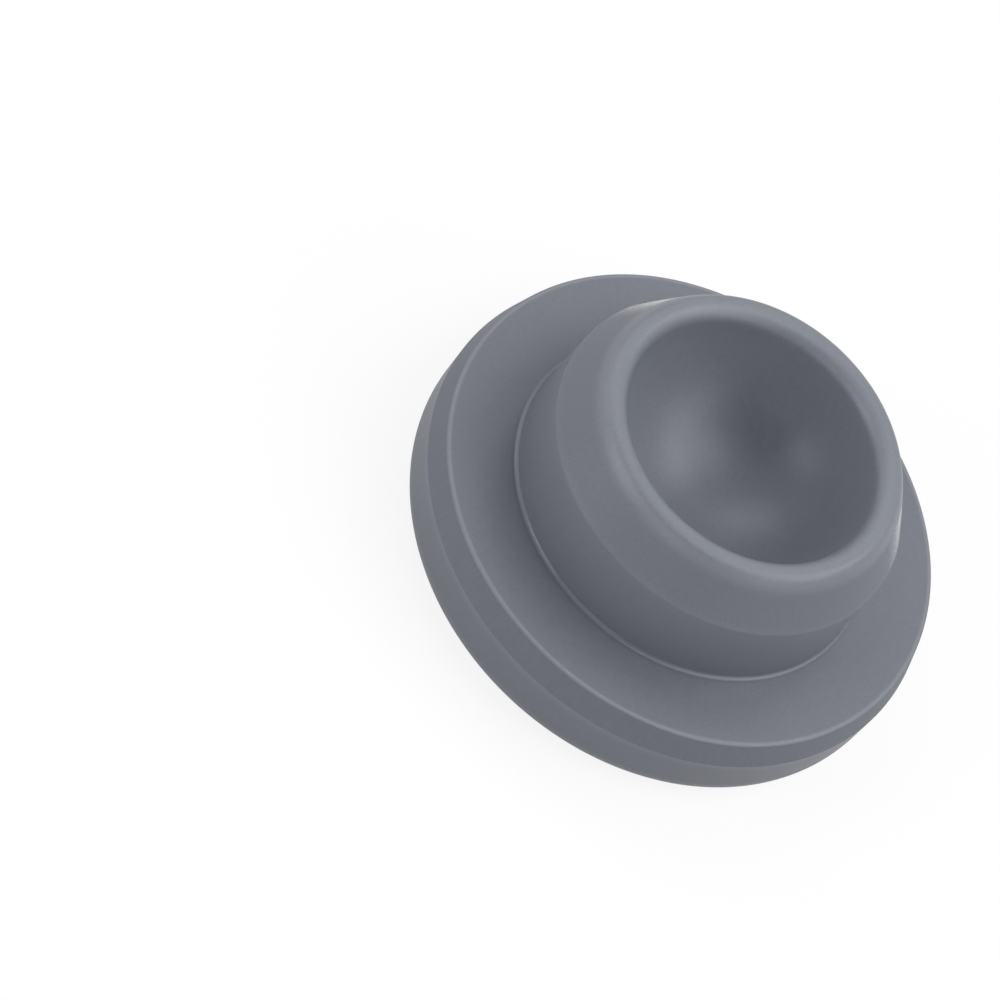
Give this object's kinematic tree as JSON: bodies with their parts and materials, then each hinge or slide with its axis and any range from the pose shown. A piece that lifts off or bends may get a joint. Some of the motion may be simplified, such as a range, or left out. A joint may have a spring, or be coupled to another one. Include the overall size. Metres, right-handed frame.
{
  "type": "rubber stopper",
  "caption": "Round rubber stopper with a wide flange, a hollow plug with a tapered lead-in and a round lip, and a raised target ring and bars on its outer face.",
  "frame": {"origin": "on the axis, at the level that the raised marks of the outer face stand on", "axes": "+Z along the axis, from the outer face towards the plug; +X along one of the raised bars"},
  "size_m": [0.019, 0.019, 0.0087],
  "materials": {
    "rubber": "matte moulded"
  },
  "bodies": {
    "root": {"stopper": "rubber"}
  },
  "joints": []
}
